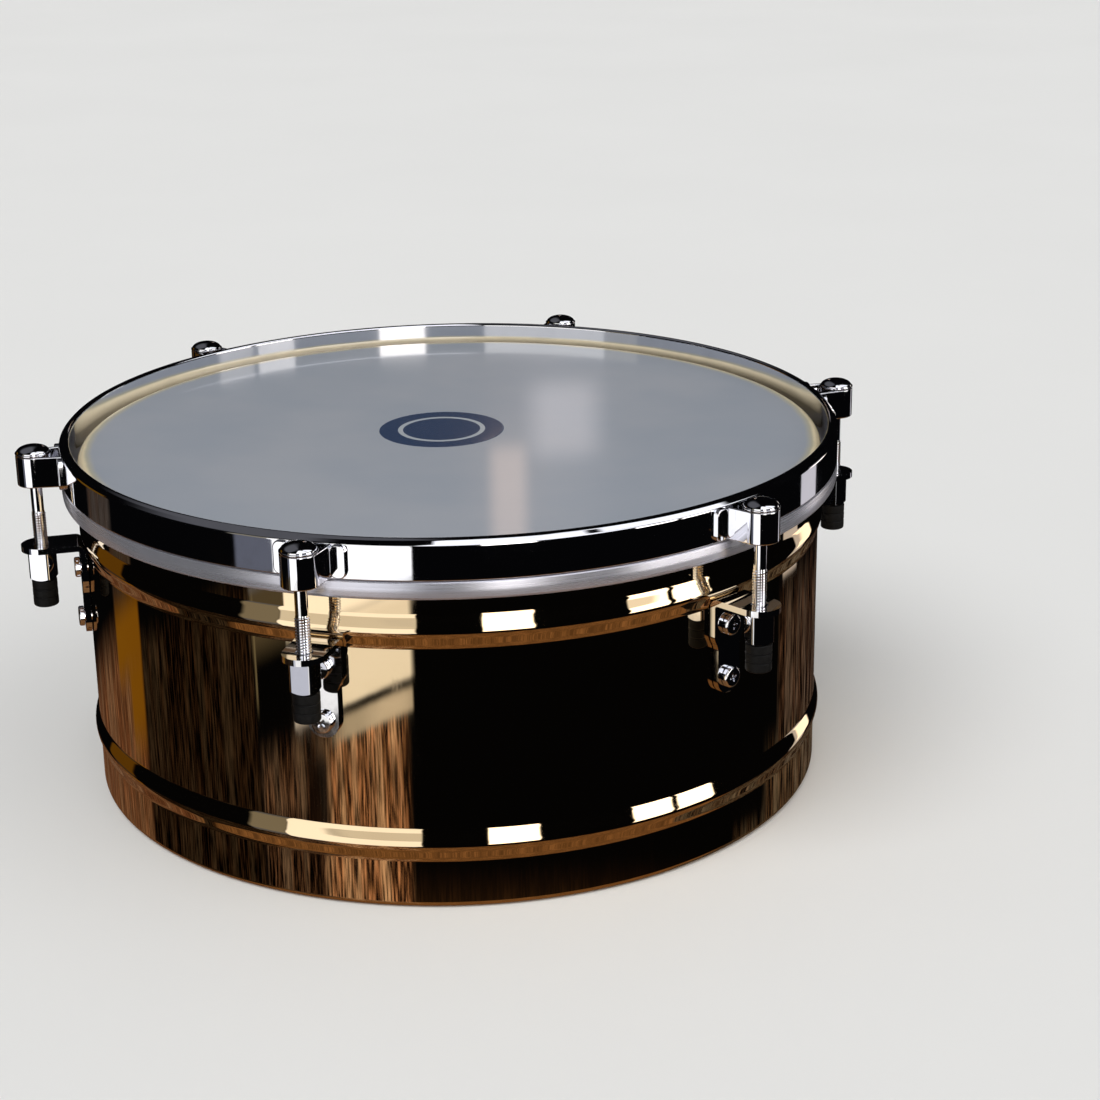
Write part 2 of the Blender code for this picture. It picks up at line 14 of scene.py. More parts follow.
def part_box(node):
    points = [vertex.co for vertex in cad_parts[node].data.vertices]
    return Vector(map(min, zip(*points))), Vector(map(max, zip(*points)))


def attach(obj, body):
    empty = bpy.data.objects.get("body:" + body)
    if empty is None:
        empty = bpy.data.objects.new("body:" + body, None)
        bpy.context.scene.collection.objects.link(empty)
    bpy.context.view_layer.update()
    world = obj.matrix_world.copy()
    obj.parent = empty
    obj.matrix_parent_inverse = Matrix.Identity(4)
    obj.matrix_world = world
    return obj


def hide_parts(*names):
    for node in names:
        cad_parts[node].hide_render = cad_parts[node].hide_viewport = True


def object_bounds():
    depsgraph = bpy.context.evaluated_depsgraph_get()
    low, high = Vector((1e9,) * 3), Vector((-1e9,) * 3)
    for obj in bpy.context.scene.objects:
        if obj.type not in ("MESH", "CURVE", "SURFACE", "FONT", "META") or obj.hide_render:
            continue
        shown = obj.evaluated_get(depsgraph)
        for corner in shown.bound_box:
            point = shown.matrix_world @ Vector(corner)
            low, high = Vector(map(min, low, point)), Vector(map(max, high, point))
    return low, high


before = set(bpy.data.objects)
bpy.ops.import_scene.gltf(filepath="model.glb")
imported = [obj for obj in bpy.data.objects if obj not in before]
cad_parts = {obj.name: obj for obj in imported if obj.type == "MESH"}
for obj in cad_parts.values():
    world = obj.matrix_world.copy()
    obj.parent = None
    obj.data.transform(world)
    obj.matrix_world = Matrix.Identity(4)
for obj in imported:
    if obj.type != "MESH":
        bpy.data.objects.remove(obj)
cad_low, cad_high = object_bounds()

# Driving dimensions that a node's box doesn't give
ROUND = 360                  # segments round the drum
SHELL_RADIUS = 0.1778
SHELL_WALL = 0.0012
SHELL_FOOT = 0.0058          # how far the bottom edge turns in
SHELL_LIP = 0.0054           # how far the bearing edge turns in
BEAD_HEIGHTS = (0.0303, 0.1292)
BEAD_HALF_HEIGHT = 0.0080
BEAD_PROUD = 0.0021
RIM_THICKNESS = 0.0050
FILM_THICKNESS = 0.00035
FILM_SHOULDER = 0.0036
EAR_RADIUS = 0.0082
EAR_BORE = 0.0059
EAR_HEIGHTS = (0.1556, 0.1702)
EAR_ROOT = 0.0098
EAR_FOOT = 0.0160
EAR_STRAP = 0.0017
EAR_FOOT_FILLET = 0.0028
ROD_HEAD_RADIUS = 0.0083
ROD_PLUG_RADIUS = 0.0055
ROD_SHANK_RADIUS = 0.0028
THREAD_RADIUS = 0.0033
THREAD_TOP = 0.1425
THREAD_PITCH = 0.00125
THREAD_DEPTH = 0.00055
BRACKET_SHEET = 0.0028
BRACKET_FOOT_HALF_WIDTH = 0.0070
BRACKET_WAIST = (0.1015, 0.1085)
BRACKET_BEND = 0.0026
SCREW_HEAD_RADIUS = 0.0048
SCREW_HEAD_HEIGHT = 0.0026
SCREW_SHANK_RADIUS = 0.0023
SCREW_HOLE = 0.0026
SCREW_EDGE = 0.0009
SCREW_SLOT_HALF = (0.0022, 0.00045)
SCREW_SLOT_DEPTH = 0.0011
NUT_BORE = 0.0036
NUT_HALF_WIDTH = 0.0052
NUT_CORNER = 0.0012
NUT_FIRST_TURN = -4.0
NUT_NEXT_TURN = -23.0
SLEEVE_RADIUS = 0.0059
PRINT_RADIUS = 0.0303
PRINT_CENTRE = (-0.0058, 0.0032)
PRINT_THICKNESS = 0.00008
PRINT_RING = (0.62, 0.70)    # the pale ring, as shares of the print's radius
LUGS = range(1, 7)

# The mount's own driving dimensions
MOUNT_AZIMUTH = 150.0
MOUNT_PLATE = (0.1799, 0.1834)
MOUNT_HALF_WIDTH = 0.0240
MOUNT_HEIGHTS = (0.0520, 0.1080)
BLOCK_HALF_WIDTH = 0.0130
BLOCK_HEIGHTS = (0.0560, 0.1040)
BLOCK_FACE = 0.2130
STAND_BORE_CENTRE = 0.1960
STAND_BORE = 0.0065
EYE_RADIUS = 0.0110
EYE_BORE = 0.0068
EYE_HEIGHT = 0.0100
EYE_SHANK = 0.0038
EYE_TRAVEL = 0.0020
EYEBOLT_END = 0.2310
MOUNT_MIDDLE = 0.0800
MOUNT_SCREW_X = 0.0184
MOUNT_SCREW_Z = (0.0620, 0.0980)
MOUNT_SCREW_LENGTH = 0.0098
WING_NUT_SEAT = 0.2133
CLEARANCE = 0.0003

# The camera's place and direction, fitted to the drum's two rims, beads and lugs
CAMERA_HEADING = math.radians(16.112)
CAMERA_PITCH = math.radians(19.42)
CAMERA_ROLL = math.radians(-0.86)
CAMERA_ACROSS = 0.0472
CAMERA_BACK = 1.0765
CAMERA_HEIGHT = 0.4816
CAMERA_LENS = 75.63


# ---------------------------------------------------------------- mesh work

def mesh_from(name, vertices, faces):
    mesh = bpy.data.meshes.new(name)
    mesh.from_pydata(vertices, [], faces)
    cleaned(mesh)
    return mesh


def cleaned(mesh):
    """Merge points that coincide, point the faces outwards and shade them smooth."""
    shape = bmesh.new()
    shape.from_mesh(mesh)
    bmesh.ops.remove_doubles(shape, verts=shape.verts, dist=1e-7)
    bmesh.ops.recalc_face_normals(shape, faces=shape.faces)
    shape.to_mesh(mesh)
    shape.free()
    mesh.shade_smooth()


def creased(mesh, angle=30.0):
    """Keep the edges sharper than this angle crisp."""
    mesh.set_sharp_from_angle(angle=math.radians(angle))
    return mesh


def arc(centre, radius, start, end, steps):
    """Points on an arc, ends included, with angles in degrees from the first axis."""
    points = []
    for step in range(steps + 1):
        angle = math.radians(start + (end - start) * step / steps)
        points.append((centre[0] + radius * math.cos(angle), centre[1] + radius * math.sin(angle)))
    return points


def rounded(corners, steps=5):
    """A closed outline of (x, y) or (x, y, fillet) corners, with each fillet drawn as an arc."""
    points = []
    for index, corner in enumerate(corners):
        here = Vector(corner[:2])
        if len(corner) == 2:
            points.append(tuple(here))
            continue
        back = (Vector(corners[index - 1][:2]) - here).normalized()
        ahead = (Vector(corners[(index + 1) % len(corners)][:2]) - here).normalized()
        half = back.angle(ahead) / 2
        centre = here + (back + ahead).normalized() * (corner[2] / math.sin(half))
        first = here + back * (corner[2] / math.tan(half)) - centre
        last = here + ahead * (corner[2] / math.tan(half)) - centre
        start = math.atan2(first.y, first.x)
        sweep = (math.atan2(last.y, last.x) - start + math.pi) % (2 * math.pi) - math.pi
        for step in range(steps + 1):
            angle = start + sweep * step / steps
            points.append((centre.x + corner[2] * math.cos(angle), centre.y + corner[2] * math.sin(angle)))
    return points


def turned(name, outline, segments):
    """Turn a closed outline of (radius, z) points about Z. A point at radius 0 becomes a pole."""
    vertices = []
    for radius, z in outline:
        for step in range(segments):
            angle = 2 * math.pi * step / segments
            vertices.append((radius * math.sin(angle), -radius * math.cos(angle), z))
    faces = []
    rows = len(outline)
    for row in range(rows):
        following = (row + 1) % rows
        if outline[row][0] == 0 and outline[following][0] == 0:
            continue
        for step in range(segments):
            corner = (step + 1) % segments
            low, high = row * segments, following * segments
            if outline[row][0] == 0:
                faces.append([low, high + corner, high + step])
            elif outline[following][0] == 0:
                faces.append([low + step, low + corner, high])
            else:
                faces.append([low + step, low + corner, high + corner, high + step])
    return mesh_from(name, vertices, faces)


def prism(name, outline, z_low, z_high):
    """Extrude a closed outline of (x, y) points from z_low to z_high."""
    count = len(outline)
    vertices = [(x, y, z_low) for x, y in outline] + [(x, y, z_high) for x, y in outline]
    faces = [list(range(count)), list(range(count, 2 * count))]
    for index in range(count):
        following = (index + 1) % count
        faces.append([index, following, count + following, count + index])
    return mesh_from(name, vertices, faces)


def cylinder(name, radius, low, high, segments=48):
    return turned(name, [(0, low), (radius, low), (radius, high), (0, high)], segments)


def moved(mesh, x=0.0, y=0.0, z=0.0):
    mesh.transform(Matrix.Translation((x, y, z)))
    return mesh


def outward(mesh, x=0.0, z=0.0):
    """Turn a mesh made along +Z so that it points out of the shell along -Y, at this x and height."""
    mesh.transform(Matrix.Translation((x, 0, z)) @ Matrix.Rotation(math.radians(90), 4, "X"))
    return mesh


def joined(name, meshes):
    """One mesh that holds these, each left as a closed body of its own."""
    shape = bmesh.new()
    for mesh in meshes:
        shape.from_mesh(mesh)
    made = bpy.data.meshes.new(name)
    shape.to_mesh(made)
    shape.free()
    made.shade_smooth()
    return made


def combine(name, mesh, others, operation):
    """The mesh that is left after a Boolean with each of the other meshes in turn."""
    base = bpy.data.objects.new(name, mesh)
    bpy.context.scene.collection.objects.link(base)
    tools = []
    for other in others:
        tool = bpy.data.objects.new(name + "_tool", other)
        bpy.context.scene.collection.objects.link(tool)
        modifier = base.modifiers.new("Boolean", "BOOLEAN")
        modifier.operation = operation
        modifier.solver = "EXACT"
        modifier.object = tool
        tools.append(tool)
    depsgraph = bpy.context.evaluated_depsgraph_get()
    result = bpy.data.meshes.new_from_object(base.evaluated_get(depsgraph))
    for used in [base] + tools:
        bpy.data.objects.remove(used, do_unlink=True)
    result.name = name
    result.materials.clear()
    result.shade_smooth()
    return result


def placed(azimuth=0.0, location=(0, 0, 0), turn=0.0, axis="Z"):
    """The matrix that turns a piece about its own axis, shifts it, and swings it round to its azimuth."""
    own = Matrix.Rotation(math.radians(turn), 4, axis)
    return Matrix.Rotation(math.radians(azimuth), 4, "Z") @ Matrix.Translation(location) @ own


def soften(item, width, segments=3):
    """Round the edges that are sharper than 30 degrees."""
    bevel = item.modifiers.new("Bevel", "BEVEL")
    bevel.limit_method = "ANGLE"
    bevel.angle_limit = math.radians(30.0)
    bevel.width = width
    bevel.segments = segments


def weigh_normals(item):
    """Keep flat and turned walls true right up to their fillets."""
    weighted = item.modifiers.new("Weighted normals", "WEIGHTED_NORMAL")
    weighted.weight = 100
    weighted.keep_sharp = True


def show(name, mesh, finish, body, place=None, bevel=0.0, node=None):
    """A visible piece in its place, riding on a body and standing for a node of the model."""
    made = mesh.copy()
    made.name = name
    if place:
        made.transform(place)
    if not made.materials:
        made.materials.append(finish)
    item = bpy.data.objects.new(name, made)
    bpy.context.scene.collection.objects.link(item)
    if bevel:
        soften(item, bevel)
    weigh_normals(item)
    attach(item, body)
    if node:
        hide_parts(node)
    return item


def lug_azimuth(number):
    return 60.0 * (number - 1)


# ---------------------------------------------------------------- finishes

def add(tree, kind, inputs=None, **settings):
    """A shader node with these settings and inputs. An input given as a socket is linked."""
    made = tree.nodes.new("ShaderNode" + kind)
    for name, value in settings.items():
        setattr(made, name, value)
    for name, value in (inputs or {}).items():
        if isinstance(value, bpy.types.NodeSocket):
            tree.links.new(value, made.inputs[name])
        else:
            made.inputs[name].default_value = value
    return made


def sums(tree, operation, first, second=0.0, third=0.0):
    """The output of a Math node."""
    return add(tree, "Math", {0: first, 1: second, 2: third}, operation=operation).outputs[0]


def between(tree, value, low, high, low_result=0.0, high_result=1.0):
    """A smooth step of a value from low to high."""
    inputs = {"Value": value, "From Min": low, "From Max": high, "To Min": low_result, "To Max": high_result}
    return add(tree, "MapRange", inputs, interpolation_type="SMOOTHSTEP").outputs["Result"]


def mixed(tree, share, first, second):
    """A colour between two colours."""
    node = add(tree, "Mix", data_type="RGBA")
    for index, value in ((0, share), (6, first), (7, second)):
        if isinstance(value, bpy.types.NodeSocket):
            tree.links.new(value, node.inputs[index])
        elif index:
            node.inputs[index].default_value = (*value, 1.0)
        else:
            node.inputs[index].default_value = value
    return node.outputs[2]


def noise(tree, scale, stretch=(1, 1, 1), detail=3.0, roughness=0.5):
    """Noise in the piece's own space, in features per metre."""
    place = add(tree, "TexCoord").outputs["Object"]
    place = add(tree, "Mapping", {"Vector": place, "Scale": stretch}).outputs["Vector"]
    inputs = {"Vector": place, "Scale": scale, "Detail": detail, "Roughness": roughness}
    return add(tree, "TexNoise", inputs).outputs["Fac"]


def bumped(tree, height, distance, strength=1.0, under=None):
    inputs = {"Height": height, "Distance": distance, "Strength": strength}
    if under:
        inputs["Normal"] = under
    return add(tree, "Bump", inputs).outputs["Normal"]


def finish(name, metallic, **constants):
    """A material, its node tree and its shader. The constants are set on the shader's own sockets."""
    made = bpy.data.materials.new(name)
    made.use_nodes = True
    tree = made.node_tree
    shader = tree.nodes["Principled BSDF"]
    shader.inputs["Metallic"].default_value = metallic
    for socket, value in constants.items():
        shader.inputs[socket.replace("_", " ")].default_value = value
    return made, tree, shader


def wire(tree, shader, **sockets):
    for name, value in sockets.items():
        tree.links.new(value, shader.inputs[name.replace("_", " ")])


def polished_brass():
    """A lacquered mirror polish: slow vertical waves in the sheet, a light haze and a few wiping marks."""
    made, tree, shader = finish("fine_polished_brass", 1.0)
    haze = noise(tree, 9.0, (1, 1, 2.5), 4.0, 0.6)
    marks = noise(tree, 240.0, (1, 1, 0.15), 3.0, 0.6)
    colour = mixed(tree, between(tree, haze, 0.35, 0.75), (0.82, 0.65, 0.42), (0.77, 0.59, 0.37))
    wiped = between(tree, marks, 0.55, 0.8)
    dull = sums(tree, "MULTIPLY_ADD", wiped, 0.02, between(tree, haze, 0.3, 0.8, 0.012, 0.04))
    waves = bumped(tree, noise(tree, 16.0, (1, 1, 0.12), 2.0), 0.0012, 0.14)
    normal = bumped(tree, noise(tree, 150.0, (1, 1, 0.06), 2.0), 0.00003, 0.3, waves)
    wire(tree, shader, Base_Color=colour, Roughness=dull, Normal=normal)
    return made


def satin_brass():
    """The unpolished inside of the shell."""
    made, tree, shader = finish("fine_satin_brass", 1.0)
    stain = noise(tree, 14.0, (1, 1, 1.6), 5.0, 0.6)
    grain = noise(tree, 90.0, (0.15, 0.15, 14), 3.0)
    colour = mixed(tree, between(tree, stain, 0.35, 0.7), (0.74, 0.55, 0.29), (0.60, 0.42, 0.22))
    rough = between(tree, grain, 0.3, 0.7, 0.34, 0.52)
    wire(tree, shader, Base_Color=colour, Roughness=rough, Normal=bumped(tree, grain, 0.00005, 0.5))
    return made


def chrome():
    """Bright plating with slight ripples left by the steel under it, and hairline wear."""
    made, tree, shader = finish("fine_chrome", 1.0)
    haze = noise(tree, 60.0, (1, 1, 1), 4.0, 0.6)
    scratch = noise(tree, 900.0, (1, 1, 0.1), 2.0)
    colour = mixed(tree, between(tree, haze, 0.4, 0.8), (0.87, 0.88, 0.92), (0.80, 0.81, 0.85))
    rough = between(tree, haze, 0.35, 0.8, 0.02, 0.07)
    ripple = bumped(tree, noise(tree, 130.0, (1, 1, 1), 2.0), 0.00002, 0.3)
    normal = bumped(tree, scratch, 0.000003, 0.3, ripple)
    wire(tree, shader, Base_Color=colour, Roughness=rough, Normal=normal)
    return made


def brushed_aluminium():
    """Drawn aluminium, satin along its length."""
    made, tree, shader = finish("fine_aluminium", 0.80, Anisotropic=0.5, Anisotropic_Rotation=0.25)
    grain = noise(tree, 120.0, (0.1, 0.1, 25), 3.0)
    patch = noise(tree, 25.0, (1, 1, 1), 3.0)
    colour = mixed(tree, between(tree, patch, 0.35, 0.7), (0.74, 0.74, 0.82), (0.62, 0.63, 0.71))
    rough = between(tree, grain, 0.3, 0.7, 0.26, 0.34)
    tangent = add(tree, "Tangent", direction_type="RADIAL", axis="Z").outputs[0]
    normal = bumped(tree, grain, 0.000012, 0.35)
    wire(tree, shader, Base_Color=colour, Roughness=rough, Normal=normal, Tangent=tangent)
    return made


def zinc_steel():
    """Zinc-plated steel for the pieces inside the shell and the stand clamp's bolt."""
    made, tree, shader = finish("fine_steel", 1.0)
    spangle = noise(tree, 260.0, (1, 1, 1), 4.0, 0.65)
    colour = mixed(tree, between(tree, spangle, 0.35, 0.7), (0.62, 0.63, 0.65), (0.48, 0.49, 0.52))
    rough = between(tree, spangle, 0.3, 0.75, 0.26, 0.42)
    wire(tree, shader, Base_Color=colour, Roughness=rough, Normal=bumped(tree, spangle, 0.00003, 0.5))
    return made


def black_rubber():
    """Matt black rubber with a moulded grain and a little dust."""
    made, tree, shader = finish("fine_rubber", 0.0, Specular_IOR_Level=0.15)
    grain = noise(tree, 1500.0, (1, 1, 1), 3.0)
    dust = noise(tree, 160.0, (1, 1, 1), 4.0, 0.6)
    colour = mixed(tree, between(tree, dust, 0.5, 0.85), (0.005, 0.005, 0.005), (0.014, 0.013, 0.013))
    rough = between(tree, dust, 0.3, 0.8, 0.42, 0.62)
    wire(tree, shader, Base_Color=colour, Roughness=rough, Normal=bumped(tree, grain, 0.00004, 0.5))
    return made


def drum_film():
    """Cloudy grey film that turns cream where the bearing edge and the hoop show through it."""
    made, tree, shader = finish("fine_head_film", 0.0, IOR=1.5, Coat_Weight=0.5, Coat_Roughness=0.03)
    place = add(tree, "TexCoord").outputs["Object"]
    flat = add(tree, "VectorMath", {0: place, 1: (1, 1, 0)}, operation="MULTIPLY").outputs[0]
    radius = add(tree, "VectorMath", {0: flat}, operation="LENGTH").outputs["Value"]
    ragged = sums(tree, "MULTIPLY_ADD", noise(tree, 40.0), 0.0030, -0.0015)
    edge = sums(tree, "ADD", radius, ragged)
    cloud = noise(tree, 11.0, (1, 1, 1), 3.0, 0.5)
    fleck = noise(tree, 420.0, (1, 1, 1), 3.0)
    grey = mixed(tree, between(tree, cloud, 0.3, 0.75), (0.345, 0.377, 0.430), (0.390, 0.410, 0.452))
    cream = mixed(tree, between(tree, edge, 0.1738, 0.1760), (0.50, 0.47, 0.36), (0.90, 0.77, 0.52))
    colour = mixed(tree, between(tree, edge, 0.1705, 0.1750), grey, cream)
    rough = between(tree, cloud, 0.3, 0.8, 0.16, 0.24)
    wire(tree, shader, Base_Color=colour, Roughness=rough, Normal=bumped(tree, fleck, 0.00002, 0.3))
    return made


def ink(name, colour):
    """Flat printing ink on the film."""
    made, tree, shader = finish(name, 0.0, Coat_Weight=0.35, Coat_Roughness=0.08)
    fleck = noise(tree, 500.0, (1, 1, 1), 3.0)
    worn = tuple(0.9 * share + 0.006 for share in colour)
    shade = mixed(tree, between(tree, fleck, 0.55, 0.9), colour, worn)
    rough = between(tree, noise(tree, 90.0), 0.3, 0.7, 0.20, 0.24)
    wire(tree, shader, Base_Color=shade, Roughness=rough)
    return made


# ---------------------------------------------------------------- shell, head and rim

def offset_path(path, thickness):
    """The outline of a sheet of this thickness whose middle follows an open path: outer side, then inner."""
    outer = []
    inner = []
    for index, point in enumerate(path):
        before = Vector(path[max(index - 1, 0)])
        after = Vector(path[min(index + 1, len(path) - 1)])
        along = (after - before).normalized()
        normal = Vector((-along.y, along.x)) * (thickness / 2)
        inner.append((point[0] + normal.x, point[1] + normal.y))
        outer.append((point[0] - normal.x, point[1] - normal.y))
    return outer + inner[::-1]


def bead_swell(share):
    """How far a bead stands out, from 0 at its edge to 1 at its crest: an even slope between fillets."""
    fillet = 0.27
    if share < fillet:
        rise = share * share / (2 * fillet)
    elif share < 1 - fillet:
        rise = share - fillet / 2
    else:
        rise = 1 - fillet - (1 - share) ** 2 / (2 * fillet)
    return rise / (1 - fillet)


def shell_path():
    """The middle of the shell's sheet, from the turned-in foot up to the bearing edge."""
    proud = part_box("shell")[1].x - SHELL_RADIUS
    middle = SHELL_RADIUS - SHELL_WALL / 2
    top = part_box("shell")[1].z - SHELL_WALL / 2
    foot_bend = 0.0022
    lip_bend = 0.0030
    path = [(SHELL_RADIUS - SHELL_FOOT, SHELL_WALL / 2)]
    path += arc((middle - foot_bend, SHELL_WALL / 2 + foot_bend), foot_bend, -90, 0, 8)
    for centre in BEAD_HEIGHTS:
        for step in range(33):
            share = step / 16 - 1
            path.append((middle + proud * bead_swell(1 - abs(share)), centre + share * BEAD_HALF_HEIGHT))
    path += arc((middle - lip_bend, top - lip_bend), lip_bend, 0, 90, 10)
    path.append((SHELL_RADIUS - SHELL_LIP, top - 0.0010))
    return path


def make_shell(polished, satin):
    path = shell_path()
    mesh = creased(turned("shell_fine", offset_path(path, SHELL_WALL), ROUND), 50.0)
    mesh.materials.append(polished)
    mesh.materials.append(satin)
    inside = SHELL_RADIUS - SHELL_WALL * 0.75
    for face in mesh.polygons:
        middle = face.center
        reach = math.hypot(middle.x, middle.y)
        inward = face.normal.x * middle.x + face.normal.y * middle.y < -0.2 * reach
        if inward and reach < inside + BEAD_PROUD:
            face.material_index = 1
    show("shell_fine", mesh, polished, "shell_body", node="shell")


def make_head(film, navy, pale):
    low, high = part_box("drum_head")
    middle_z = high.z - FILM_THICKNESS / 2
    skirt = high.x - FILM_THICKNESS / 2
    path = [(0.0, middle_z), (0.5 * skirt, middle_z)]
    path += arc((skirt - FILM_SHOULDER, middle_z - FILM_SHOULDER), FILM_SHOULDER, 90, 0, 10)
    path.append((skirt, low.z))
    outline = offset_path(path, FILM_THICKNESS)
    mesh = creased(turned("drum_head_fine", outline, ROUND), 50.0)
    show("drum_head_fine", mesh, film, "head_and_rim", node="drum_head")
    top = high.z + PRINT_THICKNESS
    outline = [(share * PRINT_RADIUS, top) for share in (0.0, *PRINT_RING, 0.97)]
    outline.append((PRINT_RADIUS, high.z + PRINT_THICKNESS / 2))
    outline += [(PRINT_RADIUS, high.z), (0.0, high.z)]
    disc = turned("head_print", outline, 96)
    disc.materials.append(navy)
    disc.materials.append(pale)
    for face in disc.polygons:
        reach = math.hypot(face.center.x, face.center.y) / PRINT_RADIUS
        if PRINT_RING[0] < reach < PRINT_RING[1] and face.normal.z > 0.5:
            face.material_index = 1
    show("head_print", disc, navy, "head_and_rim", placed(location=(*PRINT_CENTRE, 0)))


def make_flesh_hoop(aluminium):
    low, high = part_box("flesh_hoop")
    inner = SHELL_RADIUS + 2 * CLEARANCE + FILM_THICKNESS
    bulge = 0.0003
    middle = (low.z + high.z) / 2
    outline = rounded([
        (inner, low.z, 0.0004),
        (high.x - bulge, low.z, 0.0016),
        (high.x, middle, 0.0100),
        (high.x - bulge, high.z, 0.0009),
        (inner, high.z, 0.0004),
    ])
    mesh = creased(turned("flesh_hoop_fine", outline, ROUND), 50.0)
    show("flesh_hoop_fine", mesh, aluminium, "head_and_rim", node="flesh_hoop")


def ear_mesh(azimuth, rim_outer, rod_circle):
    """A strap bent round a rod's head, open between the head and the rim, with two feet welded to the rim."""
    low, high = EAR_HEIGHTS
    lead_in = 5.0
    inside = rim_outer - RIM_THICKNESS / 2
    loop = arc((0.0, rod_circle), EAR_RADIUS, -lead_in, 180 + lead_in, 40)
    outline = [(EAR_ROOT, inside)] + loop + [(-EAR_ROOT, inside)]
    strap = prism("strap", [(x, -distance) for x, distance in outline], low, high)
    near = rim_outer - 0.0001
    wide = EAR_ROOT - EAR_STRAP
    gap = [(wide, -near), (EAR_BORE, -rod_circle), (-EAR_BORE, -rod_circle), (-wide, -near)]
    cutters = [
        moved(cylinder("bore", EAR_BORE, low - 0.01, high + 0.01), y=-rod_circle),
        prism("gap", gap, low - 0.01, high + 0.01),
    ]
    pieces = [combine("strap", strap, cutters, "DIFFERENCE")]
    for side in (-1, 1):
        left, right = sorted((side * EAR_FOOT, side * (EAR_ROOT - 0.5 * EAR_STRAP)))
        corners = [(left, low), (right, low), (right, high), (left, high)]
        outline = rounded([(*corner, EAR_FOOT_FILLET) for corner in corners], 6)
        foot = prism("foot", outline, inside, rim_outer + EAR_STRAP)
        pieces.append(outward(foot))
    mesh = joined("ear", pieces)
    mesh.transform(Matrix.Rotation(math.radians(azimuth), 4, "Z"))
    return mesh


def make_rim(plating, rod_circle):
    low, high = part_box("rim_hoop")
    outer = high.x
    inner = outer - RIM_THICKNESS
    corners = [
        (inner, low.z, 0.0006), (outer, low.z, 0.0006), (outer, high.z - 0.0024, 0.0014),
        (outer - 0.0018, high.z - 0.0006, 0.0020), (outer - 0.0031, high.z, 0.0020), (inner, high.z, 0.0014),
    ]
    meshes = [turned("rim", rounded(corners, 8), ROUND)]
    meshes += [ear_mesh(lug_azimuth(number), outer, rod_circle) for number in LUGS]
    show("rim_hoop_fine", joined("rim_hoop_fine", meshes), plating, "head_and_rim", bevel=0.0006,
         node="rim_hoop")


# ---------------------------------------------------------------- lugs

def threaded(name, crest, below, thread_low, thread_high, above, segments):
    """A turned piece with a helical thread of this crest radius between two heights of its outline."""
    per_turn = 4
    root = crest - THREAD_DEPTH
    depths = (0.0, THREAD_DEPTH * 0.85, THREAD_DEPTH, THREAD_DEPTH * 0.15)
    rows = per_turn * (math.ceil((thread_high - thread_low) / THREAD_PITCH) + 1)
    grid = [[(radius, z)] * segments for radius, z in below]
    first = len(grid)
    for row in range(rows + 1):
        ring = []
        for step in range(segments):
            z = thread_low + THREAD_PITCH * (row / per_turn + step / segments - 1)
            inside = thread_low < z < thread_high
            fade = min(1.0, (thread_high - z) / THREAD_PITCH, (z - thread_low) / THREAD_PITCH)
            radius = root + (depths[row % per_turn] * fade if inside else 0.0)
            ring.append((radius, min(max(z, thread_low), thread_high)))
        grid.append(ring)
    last = len(grid) - 1
    grid += [[(radius, z)] * segments for radius, z in above]
    vertices = []
    for ring in grid:
        for step, (radius, z) in enumerate(ring):
            angle = 2 * math.pi * step / segments
            vertices.append((radius * math.sin(angle), -radius * math.cos(angle), z))
    faces = []
    for row in range(len(grid) - 1):
        shift = per_turn if first <= row < last else 0
        for step in range(segments):
            wraps = step == segments - 1
            near = min(row + shift, last) if wraps and shift else row
            far = min(row + 1 + shift, last) if wraps and shift else row + 1
            corner = 0 if wraps else step + 1
            faces.append([
                row * segments + step,
                near * segments + corner,
                far * segments + corner,
                (row + 1) * segments + step,
            ])
    return tidied(name, vertices, faces)


def tidied(name, vertices, faces):
    """A mesh without the points and faces that fold onto each other."""
    shape = bmesh.new()
    corners = [shape.verts.new(place) for place in vertices]
    for face in faces:
        different = dict.fromkeys(face)
        if len(different) > 2:
            shape.faces.new([corners[index] for index in different])
    bmesh.ops.remove_doubles(shape, verts=shape.verts, dist=1e-7)
    bmesh.ops.dissolve_degenerate(shape, edges=shape.edges, dist=1e-7)
    bmesh.ops.recalc_face_normals(shape, faces=shape.faces)
    mesh = bpy.data.meshes.new(name)
    shape.to_mesh(mesh)
    shape.free()
    mesh.shade_smooth()
    return mesh


def rod_mesh():
    """A domed head with a thin flange, the plug that fills the ear, a plain shank and the thread."""
    low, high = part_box("tension_rod_1")
    seat = EAR_HEIGHTS[1] + CLEARANCE
    flange = 0.0007
    dome = high.z - seat - flange
    root = THREAD_RADIUS - THREAD_DEPTH
    below = [(0.0, low.z), (root - 0.0006, low.z), (root, low.z + 0.0006)]
    above = [(ROD_SHANK_RADIUS, THREAD_TOP + 0.0005), (ROD_SHANK_RADIUS, EAR_HEIGHTS[0])]
    above += [(ROD_PLUG_RADIUS, EAR_HEIGHTS[0] + 0.0016), (ROD_PLUG_RADIUS, seat)]
    above += arc((ROD_HEAD_RADIUS - 0.0002, seat + 0.0002), 0.0002, -90, 0, 3)
    above += arc((ROD_HEAD_RADIUS - 0.0002, seat + flange - 0.0002), 0.0002, 0, 90, 3)
    for step in range(15):
        angle = math.pi / 2 * step / 14
        above.append(((ROD_HEAD_RADIUS - 0.0006) * math.cos(angle), seat + flange + dome * math.sin(angle)))
    above[-1] = (0.0, high.z)
    return threaded("tension_rod_fine", THREAD_RADIUS, below, low.z + 0.0008, THREAD_TOP, above, 36)


